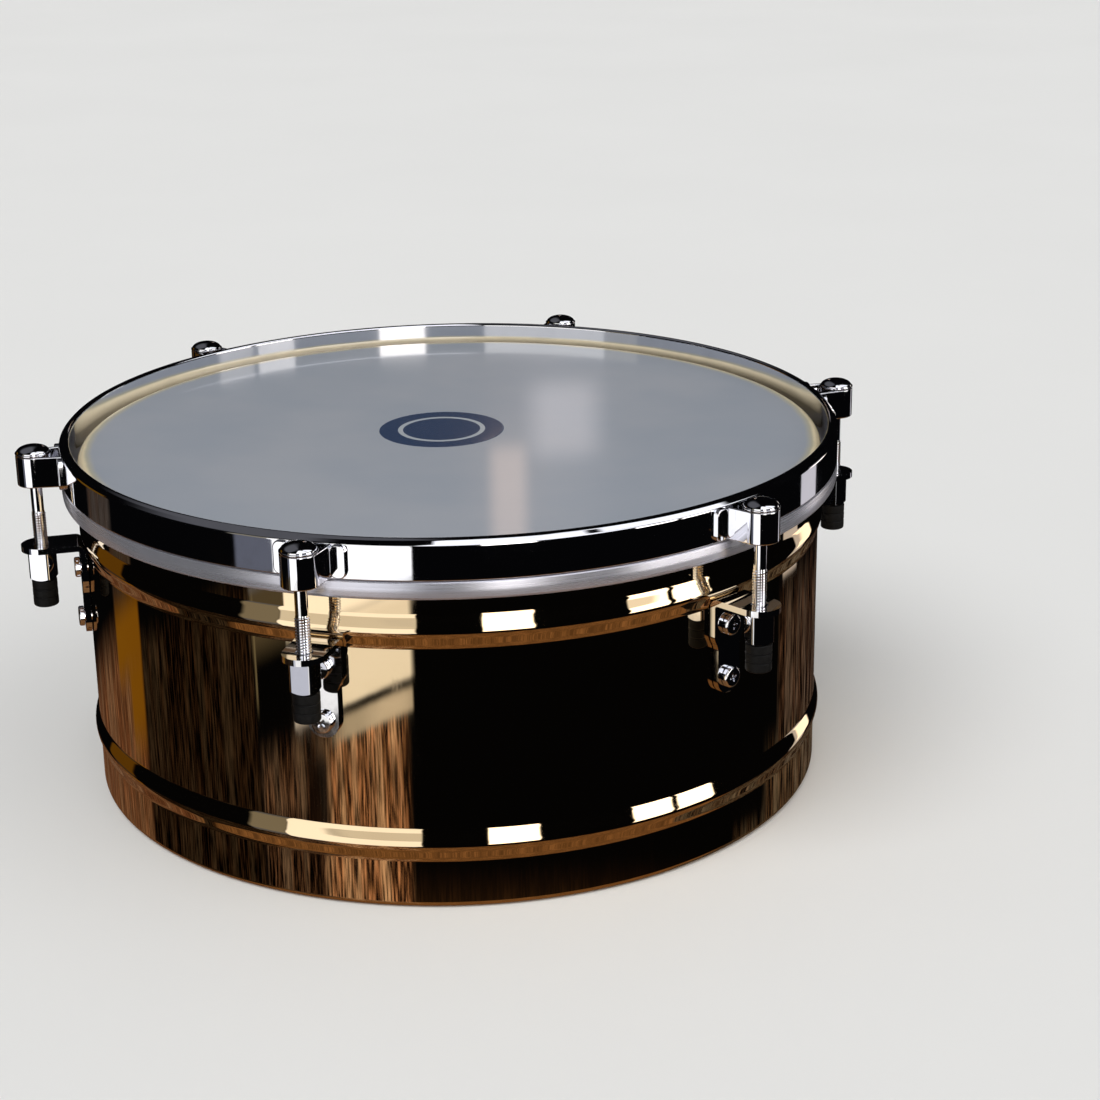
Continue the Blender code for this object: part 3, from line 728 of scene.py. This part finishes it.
def bracket_stations(rod_circle):
    """The bent strip as stations of (distance out, z, direction of travel, half width), foot to tab end."""
    low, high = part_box("lug_bracket_1")
    half_width = high.x
    middle = -high.y + BRACKET_SHEET / 2
    tab_z = high.z - BRACKET_SHEET / 2
    foot = BRACKET_FOOT_HALF_WIDTH
    stations = []
    for step in range(13):
        angle = math.radians(-86 + 86 * step / 12)
        stations.append((middle, low.z + foot + foot * math.sin(angle), 90, foot * math.cos(angle)))
    for step in range(13):
        share = step / 12
        z = BRACKET_WAIST[0] + share * (BRACKET_WAIST[1] - BRACKET_WAIST[0])
        ease = (1 - math.cos(math.pi * share)) / 2
        stations.append((middle, z, 90, foot + ease * (half_width - foot)))
    for step in range(11):
        turn = math.pi / 2 * step / 10
        out = middle + BRACKET_BEND * (1 - math.cos(turn))
        z = tab_z - BRACKET_BEND * (1 - math.sin(turn))
        stations.append((out, z, 90 - math.degrees(turn), half_width))
    for step in range(15):
        angle = math.radians(86 * step / 14)
        stations.append((rod_circle + half_width * math.sin(angle), tab_z, 0, half_width * math.cos(angle)))
    return stations


def bracket_mesh(screw_heights, rod_circle):
    """Sheet bent to a right angle: a waisted plate on the shell and a tab with a round end for the rod."""
    vertices = []
    faces = []
    for out, z, heading, half_width in bracket_stations(rod_circle):
        along = math.radians(heading)
        lift = Vector((-math.sin(along), math.cos(along))) * (BRACKET_SHEET / 2)
        for x, side in ((-half_width, 1), (half_width, 1), (half_width, -1), (-half_width, -1)):
            vertices.append((x, -(out + side * lift.x), z + side * lift.y))
    count = len(vertices) // 4
    for station in range(count - 1):
        first = 4 * station
        for corner in range(4):
            following = (corner + 1) % 4
            faces.append([first + corner, first + following, first + 4 + following, first + 4 + corner])
    faces.append([0, 1, 2, 3])
    faces.append([len(vertices) - 4 + corner for corner in range(4)])
    mesh = mesh_from("lug_bracket_fine", vertices, faces)
    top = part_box("lug_bracket_1")[1].z
    hole = cylinder("rod_hole", THREAD_RADIUS + 2 * CLEARANCE, top - 0.01, top + 0.01)
    cutters = [moved(hole, y=-rod_circle)]
    for height in screw_heights:
        hole = cylinder("hole", SCREW_HOLE, SHELL_RADIUS - 0.01, SHELL_RADIUS + 0.01)
        cutters.append(outward(hole, 0, height))
    return combine("lug_bracket_fine", mesh, cutters, "DIFFERENCE")


def screw_mesh(length):
    """A pan head with a cross recess, made along +Z with its seat at z = 0."""
    head = SCREW_HEAD_HEIGHT
    outline = [(0.0, -length), (SCREW_SHANK_RADIUS - 0.0004, -length), (SCREW_SHANK_RADIUS, -length + 0.0004)]
    outline += [(SCREW_SHANK_RADIUS, 0.0), (SCREW_HEAD_RADIUS - 0.0002, 0.0), (SCREW_HEAD_RADIUS, 0.0002)]
    outline += arc((SCREW_HEAD_RADIUS - SCREW_EDGE, head - SCREW_EDGE), SCREW_EDGE, 0, 90, 8)
    outline.append((0.0, head))
    body = turned("screw", outline, 48)
    long, wide = SCREW_SLOT_HALF
    corners = [(-long, -wide, 0.0003), (long, -wide, 0.0003), (long, wide, 0.0003), (-long, wide, 0.0003)]
    slots = []
    for turn in (0, 90):
        cutter = prism("slot", rounded(corners, 3), head - SCREW_SLOT_DEPTH, head + 0.001)
        cutter.transform(Matrix.Rotation(math.radians(turn), 4, "Z"))
        slots.append(cutter)
    return outward(creased(combine("screw_fine", body, slots, "DIFFERENCE"), 35.0))


def nut_mesh():
    """A long square nut with rounded corners and a turned chamfer at each end, centred on its own axis."""
    low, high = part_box("tuning_nut_1")
    half = NUT_HALF_WIDTH
    corners = [(half, half), (-half, half), (-half, -half), (half, -half)]
    square = rounded([(*corner, NUT_CORNER) for corner in corners], 6)
    corner = math.sqrt(2) * (half - NUT_CORNER) + NUT_CORNER
    crown = 0.0009
    outline = [(0, low.z), (half, low.z), (corner, low.z + crown), (corner + 0.001, high.z - 0.5 * crown)]
    outline += [(half, high.z), (0, high.z)]
    bore = cylinder("bore", NUT_BORE, low.z - 0.01, high.z + 0.01)
    solid = prism("square", square, low.z, high.z)
    mesh = combine("nut", solid, [turned("turning", outline, 96)], "INTERSECT")
    return combine("tuning_nut_fine", mesh, [bore], "DIFFERENCE")


def sleeve_mesh():
    """A short rubber sleeve with a rounded foot and two shallow grooves."""
    low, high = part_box("nut_sleeve_1")
    corners = [(NUT_BORE, low.z, 0.0003), (SLEEVE_RADIUS, low.z, 0.0009)]
    for share in (0.36, 0.68):
        middle = low.z + share * (high.z - low.z)
        corners += [(SLEEVE_RADIUS, middle - 0.0005), (SLEEVE_RADIUS - 0.0003, middle - 0.0002)]
        corners += [(SLEEVE_RADIUS - 0.0003, middle + 0.0002), (SLEEVE_RADIUS, middle + 0.0005)]
    corners += [(SLEEVE_RADIUS, high.z, 0.0004), (NUT_BORE, high.z)]
    return creased(turned("nut_sleeve_fine", rounded(corners, 4), 56), 40.0)


def make_lugs(plating, rubber, rod_circle):
    heights = {}
    for end in ("upper", "lower"):
        low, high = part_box(f"lug_screw_1_{end}")
        heights[end] = (low.z + high.z) / 2
    seat = -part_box("lug_screw_1_upper")[0].y - SCREW_HEAD_HEIGHT
    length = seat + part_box("lug_screw_1_upper")[1].y
    bracket = bracket_mesh(heights.values(), rod_circle)
    screw = screw_mesh(length)
    rod = creased(rod_mesh(), 40.0)
    nut = nut_mesh()
    sleeve = sleeve_mesh()
    on_rod = (0, -rod_circle, 0)
    for number in LUGS:
        azimuth = lug_azimuth(number)
        at_nut = placed(azimuth, on_rod, NUT_FIRST_TURN + NUT_NEXT_TURN * (number - 1))
        show(f"lug_bracket_{number}_fine", bracket, plating, "shell_body", placed(azimuth), 0.0006,
             f"lug_bracket_{number}")
        for end, height in heights.items():
            name = f"lug_screw_{number}_{end}"
            spin = 37.0 * number + (20.0 if end == "upper" else 0.0)
            place = placed(azimuth, (0, -seat, height), spin, "Y")
            show(name + "_fine", screw, plating, "shell_body", place, node=name)
        show(f"tension_rod_{number}_fine", rod, plating, "head_and_rim",
             placed(azimuth, on_rod, 50.0 * number), node=f"tension_rod_{number}")
        show(f"tuning_nut_{number}_fine", nut, plating, f"tuning_nut_{number}", at_nut, 0.00025,
             f"tuning_nut_{number}")
        show(f"nut_sleeve_{number}_fine", sleeve, rubber, f"tuning_nut_{number}", at_nut,
             node=f"nut_sleeve_{number}")


# ---------------------------------------------------------------- stand mount

def make_mount(plating, steel, rubber):
    """The clamp bracket behind the drum. Its gasket and the plates inside keep the model's shapes."""
    show("mount_bracket_fine", mount_bracket_mesh(), plating, "shell_body", placed(MOUNT_AZIMUTH),
         0.0008, "mount_bracket")
    screw = screw_mesh(MOUNT_SCREW_LENGTH)
    seat = MOUNT_PLATE[1] + CLEARANCE
    corners = [(x, z) for z in MOUNT_SCREW_Z for x in (-MOUNT_SCREW_X, MOUNT_SCREW_X)]
    for number, (x, z) in enumerate(corners, start=1):
        place = placed(MOUNT_AZIMUTH, (x, -seat, z), 31.0 * number, "Y")
        show(f"mount_screw_{number}_fine", screw, plating, "shell_body", place,
             node=f"mount_screw_{number}")
    show("mount_eyebolt_fine", eyebolt_mesh(), steel, "mount_eyebolt", placed(MOUNT_AZIMUTH),
         node="mount_eyebolt")
    show("mount_wing_nut_fine", wing_nut_mesh(), plating, "mount_wing_nut",
         placed(MOUNT_AZIMUTH, (0, -WING_NUT_SEAT, MOUNT_MIDDLE)), 0.0007, "mount_wing_nut")
    for name, made, width in (("mount_gasket", rubber, 0.0003), ("mount_backing_plate", steel, 0.0004)):
        refinish(name, made, width)
    for number in LUGS:
        refinish(f"lug_backing_plate_{number}", steel, 0.0004)


def refinish(name, made, width):
    """Keep a node of the model, with its edges softened and a new finish."""
    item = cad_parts[name]
    item.data.materials.clear()
    item.data.materials.append(made)
    soften(item, width, 2)
    weigh_normals(item)


def mount_bracket_mesh():
    """A plate with a block that takes the stand's rod, slotted across for the eyebolt."""
    plate = prism("plate", rounded([
        (-MOUNT_HALF_WIDTH, -MOUNT_HEIGHTS[1], 0.0045), (MOUNT_HALF_WIDTH, -MOUNT_HEIGHTS[1], 0.0045),
        (MOUNT_HALF_WIDTH, -MOUNT_HEIGHTS[0], 0.0045), (-MOUNT_HALF_WIDTH, -MOUNT_HEIGHTS[0], 0.0045),
    ], 8), *MOUNT_PLATE)
    plate.transform(Matrix.Scale(-1, 4, (0, 1, 0)))
    outward(plate)
    near = MOUNT_PLATE[1] - 0.001
    block = prism("block", rounded([
        (-BLOCK_HALF_WIDTH, -near), (BLOCK_HALF_WIDTH, -near),
        (BLOCK_HALF_WIDTH, -BLOCK_FACE, 0.0060), (-BLOCK_HALF_WIDTH, -BLOCK_FACE, 0.0060),
    ], 8), *BLOCK_HEIGHTS)
    body = combine("mount_bracket", plate, [block], "UNION")
    bore = cylinder("stand_bore", STAND_BORE, BLOCK_HEIGHTS[0] - 0.01, BLOCK_HEIGHTS[1] + 0.01, 64)
    slot_near = -STAND_BORE_CENTRE + EYE_RADIUS + CLEARANCE
    slot_far = -STAND_BORE_CENTRE - EYE_RADIUS - EYE_TRAVEL - CLEARANCE
    slot_half = EYE_HEIGHT / 2 + CLEARANCE
    slot = prism("slot", [(-0.02, slot_near), (0.02, slot_near), (0.02, slot_far), (-0.02, slot_far)],
                 MOUNT_MIDDLE - slot_half, MOUNT_MIDDLE + slot_half)
    shank_hole = cylinder("shank_hole", EYE_SHANK + CLEARANCE, STAND_BORE_CENTRE, BLOCK_FACE + 0.01, 40)
    cutters = [moved(bore, y=-STAND_BORE_CENTRE), slot, outward(shank_hole, 0, MOUNT_MIDDLE)]
    for x in (-MOUNT_SCREW_X, MOUNT_SCREW_X):
        for z in MOUNT_SCREW_Z:
            cutters.append(outward(cylinder("hole", SCREW_HOLE + CLEARANCE, 0.17, 0.19, 32), x, z))
    return combine("mount_bracket_fine", body, cutters, "DIFFERENCE")


def eyebolt_mesh():
    """An eye round the stand's rod, and the threaded shank that leaves through the block's face."""
    half = EYE_HEIGHT / 2
    ring = turned("eye", rounded([
        (EYE_BORE, MOUNT_MIDDLE - half, 0.0010), (EYE_RADIUS, MOUNT_MIDDLE - half, 0.0022),
        (EYE_RADIUS, MOUNT_MIDDLE + half, 0.0022), (EYE_BORE, MOUNT_MIDDLE + half, 0.0010),
    ]), 64)
    start = STAND_BORE_CENTRE + EYE_BORE + 0.0015
    root = EYE_SHANK - THREAD_DEPTH
    below = [(0.0, start), (EYE_SHANK, start), (EYE_SHANK, BLOCK_FACE - 0.003)]
    above = [(root, EYEBOLT_END - 0.0006), (root - 0.0006, EYEBOLT_END), (0.0, EYEBOLT_END)]
    shank = threaded("eyebolt_shank", EYE_SHANK, below, BLOCK_FACE - 0.0025, EYEBOLT_END - 0.0008, above, 32)
    return joined("mount_eyebolt_fine", [moved(ring, y=-STAND_BORE_CENTRE), outward(shank, 0, MOUNT_MIDDLE)])


def wing_nut_mesh():
    """A hub with two swept wings, made along +Z with its seat at z = 0."""
    length = 0.0110
    hub = turned("hub", rounded([
        (0.0, 0.0), (0.0085, 0.0, 0.0005), (0.0085, 0.0020, 0.0008), (0.0072, 0.0026, 0.0008),
        (0.0062, length, 0.0012), (0.0, length),
    ], 5), 64)
    wings = []
    for side in (-1, 1):
        corners = [(0.0045, 0.0020), (0.0120, 0.0034, 0.0030), (0.0170, 0.0080, 0.0030)]
        corners += [(0.0158, 0.0145, 0.0022), (0.0110, 0.0140, 0.0030), (0.0045, 0.0095)]
        outline = rounded([(side * corner[0], *corner[1:]) for corner in corners], 6)
        wing = prism("wing", outline, -0.0015, 0.0015)
        wing.transform(Matrix.Rotation(math.radians(90), 4, "X"))
        wings.append(wing)
    solid = combine("wing_nut", hub, wings, "UNION")
    bore = cylinder("bore", EYE_SHANK + CLEARANCE, -0.01, length + 0.01, 40)
    return outward(combine("mount_wing_nut_fine", solid, [bore], "DIFFERENCE"))


# ---------------------------------------------------------------- world, light and camera

# What the bright metal mirrors: areas of the surroundings. Each has azimuths from and to, levels from and
# to, the softness of its upright and of its level edges, how streaked it is, and its colour. Azimuth is in
# degrees from -Y towards +X, after a turn by CAMERA_HEADING. Level is the elevation in degrees with the slope
# of the surroundings, in degrees per degree of azimuth, taken out of it. A later area covers an earlier one.
SLOPE = 0.0294
SURROUNDINGS = [
    (-185, -112, -70, -17.4, 1.5, 1.0, 0.5, (0.13, 0.062, 0.032)),
    (-128, -114, -16.6, -10, 1.0, 1.0, 0.3, (0.045, 0.030, 0.022)),
    (-129, -112, -10.5, 15, 1.0, 1.0, 0.0, (0.11, 0.050, 0.004)),
    (-128, -111.5, -18.4, -16.7, 0.8, 0.6, 0.0, (0.20, 0.086, 0.005)),
    (-120, -111.5, -20.2, -18.0, 1.2, 0.8, 0.0, (0.20, 0.086, 0.005)),
    (-111, -62, -45, -18.0, 0.6, 0.6, 1.0, (0.016, 0.0095, 0.0055)),
    (-62, -48, -19.9, -18.0, 0.5, 0.5, 0.0, (0.085, 0.070, 0.045)),
    (-61.4, -60.8, -21.2, -18.4, 0.3, 0.4, 0.0, (0.16, 0.14, 0.09)),
    (-62, -48, -18.3, -10, 0.8, 0.15, 0.0, (0.115, 0.120, 0.150)),
    (-62, -50, -10, 27, 1.0, 1.0, 0.0, (0.22, 0.20, 0.16)),
    (-61, -40, -50, -22.5, 1.0, 0.6, 1.0, (0.060, 0.036, 0.024)),
    (-40, -14, -50, -22.8, 2.0, 0.3, 1.0, (0.25, 0.140, 0.082)),
    (-35, -11.2, -22.98, -22.42, 4.0, 0.12, 0.0, (0.46, 0.42, 0.36)),
    (-24, -11.2, -22.95, -22.45, 5.0, 0.12, 0.0, (0.66, 0.60, 0.52)),
    (-11.2, -2, -24.2, -22.0, 0.4, 0.3, 0.0, (0.0015, 0.0015, 0.0018)),
    (-46, -38, -25.4, -22.6, 2.0, 0.8, 0.5, (0.014, 0.009, 0.007)),
    (-48.5, -40, -22.17, -19.9, 0.5, 0.1, 0.0, (0.55, 0.55, 0.60)),
    (-40, -11.2, -22.17, -19.9, 1.0, 0.08, 0.0, (1.00, 0.97, 0.92)),
    (-50, -9.5, -19.9, 12, 0.4, 0.3, 0.0, (1.35, 1.33, 1.32)),
    (-50, -9.5, 12, 18.5, 0.4, 0.4, 0.0, (0.80, 0.77, 0.72)),
    (-50, -9.5, 18.5, 27, 0.4, 0.4, 0.0, (1.15, 1.12, 1.08)),
    (10, 25, -16, 25, 0.5, 0.5, 0.0, (3.2, 3.0, 2.8)),
    (54, 67, 10, 14.5, 0.5, 0.5, 0.0, (1.1, 1.05, 1.0)),
    (54, 67, -15, 11, 0.5, 0.5, 0.0, (3.2, 3.0, 2.8)),
    (69, 82, -15, 11, 0.5, 0.5, 0.0, (3.2, 3.0, 2.8)),
    (123, 185, -60, -24.3, 1.5, 1.0, 1.0, (0.048, 0.030, 0.022)),
    (98, 120, -60, -29.6, 1.0, 0.5, 1.0, (0.060, 0.042, 0.028)),
    (116, 185, -60, -28.0, 3.0, 1.0, 1.0, (0.065, 0.045, 0.030)),
    (124.5, 135.5, -23.75, 2.5, 0.5, 0.12, 0.0, (0.60, 0.57, 0.60)),
    (127, 138, -17.5, -7.5, 0.8, 0.8, 0.0, (1.8, 1.6, 1.4)),
    (-9, 65, 24, 84, 1.5, 1.0, 0.0, (1.2, 1.2, 1.25)),
    (70, 106, 24, 72, 1.5, 1.0, 0.0, (1.2, 1.2, 1.25)),
    (-170, -60, 40, 85, 8.0, 8.0, 0.0, (0.09, 0.09, 0.10)),
    (-185, -179.6, 20.6, 22.4, 0.5, 0.4, 0.0, (1.2, 1.08, 1.08)),
    (178.75, 185, 10.0, 11.8, 0.5, 0.4, 0.0, (1.2, 1.08, 1.08)),
    (-179.4, -178.5, 22.1, 24.6, 0.25, 0.3, 0.0, (1.7, 1.2, 0.9)),
]
SKY = (0.0015, 0.0015, 0.0018)
GROUND = (0.17, 0.080, 0.030)
BACKDROP = (0.755, 0.755, 0.745)
SOFT_LIGHT = 0.55


def make_world():
    """A pale backdrop for the camera, even soft light, and surroundings for the bright metal to mirror."""
    world = bpy.data.worlds.new("studio")
    bpy.context.scene.world = world
    world.use_nodes = True
    tree = world.node_tree
    direction = add(tree, "TexCoord").outputs["Generated"]
    turn = {"Vector": direction, "Axis": (0, 0, 1), "Angle": -CAMERA_HEADING}
    direction = add(tree, "VectorRotate", turn, rotation_type="AXIS_ANGLE").outputs[0]
    axes = add(tree, "SeparateXYZ", {0: direction})
    across, along, up = axes.outputs
    azimuth = sums(tree, "ARCTAN2", across, sums(tree, "MULTIPLY", along, -1.0))
    azimuth = sums(tree, "MULTIPLY", azimuth, math.degrees(1))
    elevation = sums(tree, "MULTIPLY", sums(tree, "ARCSINE", up), math.degrees(1))
    level = sums(tree, "MULTIPLY_ADD", azimuth, -SLOPE, elevation)
    spread = add(tree, "CombineXYZ", {0: sums(tree, "MULTIPLY", azimuth, 2.0), 1: elevation}).outputs[0]
    fine = {"Vector": spread, "Scale": 0.9, "Detail": 4.0, "Roughness": 0.6}
    fine = add(tree, "TexNoise", fine).outputs[0]
    coarse = add(tree, "TexNoise", {"Vector": spread, "Scale": 0.12, "Detail": 2.0}).outputs[0]
    streaks = between(tree, sums(tree, "MULTIPLY_ADD", coarse, 0.5, fine), 0.62, 1.0, 0.0, 3.4)
    hue = mixed(tree, between(tree, coarse, 0.4, 0.6), (1.1, 0.93, 0.80), (0.92, 1.04, 1.12))
    mottled = sums(tree, "MULTIPLY_ADD", streaks, 0.35, 0.65)
    ground = add(tree, "VectorMath", {0: GROUND, "Scale": mottled}, operation="SCALE").outputs[0]
    colour = mixed(tree, between(tree, elevation, -27.0, -34.0), SKY, ground)
    for left, right, low, high, upright, soft, streaked, shade in SURROUNDINGS:
        mask = between(tree, azimuth, left - upright, left + upright)
        mask = sums(tree, "MULTIPLY", mask, between(tree, azimuth, right + upright, right - upright))
        mask = sums(tree, "MULTIPLY", mask, between(tree, level, low - soft, low + soft))
        mask = sums(tree, "MULTIPLY", mask, between(tree, level, high + soft, high - soft))
        if streaked:
            strength = sums(tree, "MULTIPLY_ADD", streaks, streaked, 1.0 - streaked)
            patterned = add(tree, "VectorMath", {0: hue, 1: shade}, operation="MULTIPLY").outputs[0]
            shade = add(tree, "VectorMath", {0: patterned, "Scale": strength}, operation="SCALE").outputs[0]
        colour = mixed(tree, mask, colour, shade)
    mirrored = add(tree, "Background", {"Color": colour, "Strength": 1.0}).outputs[0]
    soft_light = add(tree, "Background", {"Color": (1.0, 1.0, 1.0, 1.0), "Strength": SOFT_LIGHT}).outputs[0]
    seen = add(tree, "Background", {"Color": (*BACKDROP, 1.0), "Strength": 1.0}).outputs[0]
    path = add(tree, "LightPath").outputs
    lit = add(tree, "MixShader", {0: path["Is Glossy Ray"], 1: soft_light, 2: mirrored}).outputs[0]
    whole = add(tree, "MixShader", {0: path["Is Camera Ray"], 1: lit, 2: seen}).outputs[0]
    tree.links.new(whole, tree.nodes["World Output"].inputs["Surface"])


def make_floor():
    """A plain pale floor that the bright metal doesn't mirror."""
    made, tree, shader = finish("studio_floor", 0.0)
    mottle = noise(tree, 3.0, (1, 1, 1), 4.0)
    wire(tree, shader, Base_Color=mixed(tree, mottle, (0.74, 0.74, 0.73), (0.78, 0.78, 0.77)))
    shader.inputs["Roughness"].default_value = 0.85
    size = 6.0
    mesh = mesh_from("studio_floor", [(-size, -size, 0), (size, -size, 0), (size, size, 0), (-size, size, 0)],
                     [(0, 1, 2, 3)])
    mesh.materials.append(made)
    floor = bpy.data.objects.new("studio_floor", mesh)
    bpy.context.scene.collection.objects.link(floor)
    floor.location.z = cad_low.z - 0.0002
    floor.visible_glossy = False


def make_light(name, heading, height, width, strength):
    """A very wide, distant light, from this heading off the camera's and this height in degrees."""
    lamp = bpy.data.lights.new(name, "SUN")
    lamp.angle = math.radians(width)
    lamp.energy = strength
    item = bpy.data.objects.new(name, lamp)
    bpy.context.scene.collection.objects.link(item)
    item.rotation_euler = (math.radians(90 - height), 0, CAMERA_HEADING + math.radians(heading))
    item.visible_glossy = False


def make_camera():
    camera = bpy.data.objects.new("camera", bpy.data.cameras.new("camera"))
    bpy.context.scene.collection.objects.link(camera)
    bpy.context.scene.camera = camera
    camera.data.lens = CAMERA_LENS
    camera.data.sensor_width = 36.0
    heading = Matrix.Rotation(CAMERA_HEADING, 4, "Z")
    place = heading @ Vector((CAMERA_ACROSS, -CAMERA_BACK, CAMERA_HEIGHT))
    tilt = Matrix.Rotation(math.pi / 2 - CAMERA_PITCH, 4, "X")
    camera.matrix_world = Matrix.Translation(place) @ heading @ tilt @ Matrix.Rotation(CAMERA_ROLL, 4, "Z")


def make_studio():
    make_camera()
    make_world()
    make_floor()
    make_light("key", heading=-35.0, height=55.0, width=40.0, strength=1.5)
    make_light("fill", heading=60.0, height=40.0, width=60.0, strength=0.5)
    bpy.context.scene.view_settings.view_transform = "Standard"


def make_drum():
    low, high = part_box("tension_rod_1")
    rod_circle = -(low.y + high.y) / 2
    plating = chrome()
    rubber = black_rubber()
    make_shell(polished_brass(), satin_brass())
    make_head(drum_film(), ink("ink_navy", (0.036, 0.058, 0.115)), ink("ink_pale", (0.40, 0.43, 0.46)))
    make_flesh_hoop(brushed_aluminium())
    make_rim(plating, rod_circle)
    make_lugs(plating, rubber, rod_circle)
    make_mount(plating, zinc_steel(), rubber)


make_studio()
make_drum()
